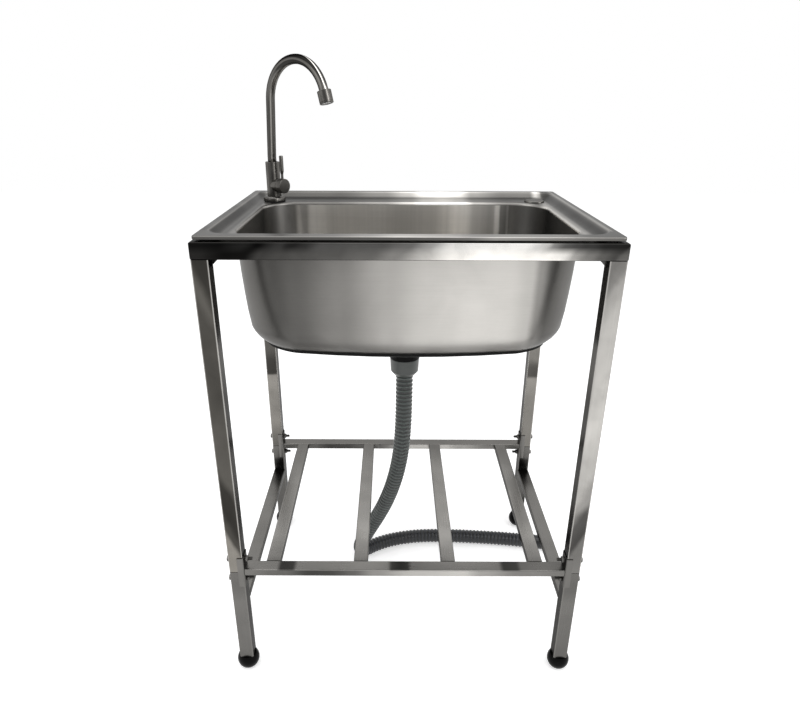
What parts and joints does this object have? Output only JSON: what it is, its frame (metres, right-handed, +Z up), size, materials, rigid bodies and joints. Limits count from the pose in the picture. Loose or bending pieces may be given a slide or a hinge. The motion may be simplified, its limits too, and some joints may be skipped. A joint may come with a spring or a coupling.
{
  "type": "camping sink",
  "caption": "Free-standing camping sink: a deep pressed bowl with a sunk deck on a knock-down square-tube stand with a slatted shelf, gooseneck lever tap and ribbed drain hose.",
  "frame": {"origin": "on the floor, under the middle of the basin's rim", "axes": "+Z up, +X to the right as a user stands at the sink, +Y to the rear, where the tap is"},
  "size_m": [0.6573, 0.4718, 1.0508],
  "materials": {
    "basin_steel": "satin",
    "tube_steel": "polished to satin",
    "fastener_steel": "bright",
    "strainer_steel": "polished",
    "satin_nickel": "satin",
    "brass": "machined",
    "black_rubber": "matte",
    "black_plastic": "matte",
    "grey_plastic": "semi-matte",
    "white_plastic": "matte"
  },
  "bodies": {
    "stand": {"sink_basin": "basin_steel", "top_rail_front": "tube_steel", "top_rail_rear": "tube_steel", "top_rail_left": "tube_steel", "top_rail_right": "tube_steel", "upper_leg_front_left": "tube_steel", "upper_leg_front_right": "tube_steel", "upper_leg_rear_left": "tube_steel", "upper_leg_rear_right": "tube_steel", "lower_leg_front_left": "tube_steel", "lower_leg_front_right": "tube_steel", "lower_leg_rear_left": "tube_steel", "lower_leg_rear_right": "tube_steel", "corner_gussets": "tube_steel", "side_rail_left": "tube_steel", "side_rail_right": "tube_steel", "shelf_rail_front": "tube_steel", "shelf_rail_rear": "tube_steel", "shelf_slat_1": "tube_steel", "shelf_slat_2": "tube_steel", "shelf_slat_3": "tube_steel", "shelf_slat_4": "tube_steel", "joint_brackets": "tube_steel", "joint_bolts": "fastener_steel", "joint_washers": "fastener_steel", "joint_nuts": "fastener_steel", "cup_screw": "fastener_steel", "spout_set_screw": "fastener_steel", "strainer_cup": "strainer_steel", "tap_body": "satin_nickel", "tap_escutcheon": "satin_nickel", "hole_cap": "satin_nickel", "tap_shank": "brass", "valve_cartridge": "brass", "tap_gasket": "black_rubber", "cup_gasket": "black_rubber", "body_gasket": "black_rubber", "sound_pad": "black_rubber", "nut_washer": "black_rubber", "shank_washer": "black_rubber", "feet": "black_plastic", "drain_body": "black_plastic", "hole_cap_nut": "black_plastic", "shank_nut": "black_plastic", "coupling_nut": "grey_plastic", "hose_cuff": "grey_plastic", "drain_hose": "grey_plastic"},
    "spout": {"spout_tube": "satin_nickel", "spout_spigot": "brass", "spout_o_ring": "black_rubber", "aerator_housing": "satin_nickel", "aerator_insert": "white_plastic"},
    "lever": {"lever_knob": "satin_nickel", "lever_rod": "satin_nickel", "valve_spindle": "brass"},
    "strainer": {"strainer_basket": "strainer_steel", "basket_stopper": "black_rubber"}
  },
  "joints": [
    {"name": "spout_swivel", "type": "hinge", "parent": "stand", "child": "spout", "pos_m": [-0.249, 0.154, 0.86], "axis": [0, 0, 1], "continuous": true},
    {"name": "lever_turn", "type": "hinge", "parent": "stand", "child": "lever", "pos_m": [-0.249, 0.154, 0.83], "axis": [0.766, -0.6428, 0], "range_deg": [0, 90]},
    {"name": "strainer_lift", "type": "slide", "parent": "stand", "child": "strainer", "axis": [0, 0, 1], "range_m": [0, 0.06]}
  ]
}
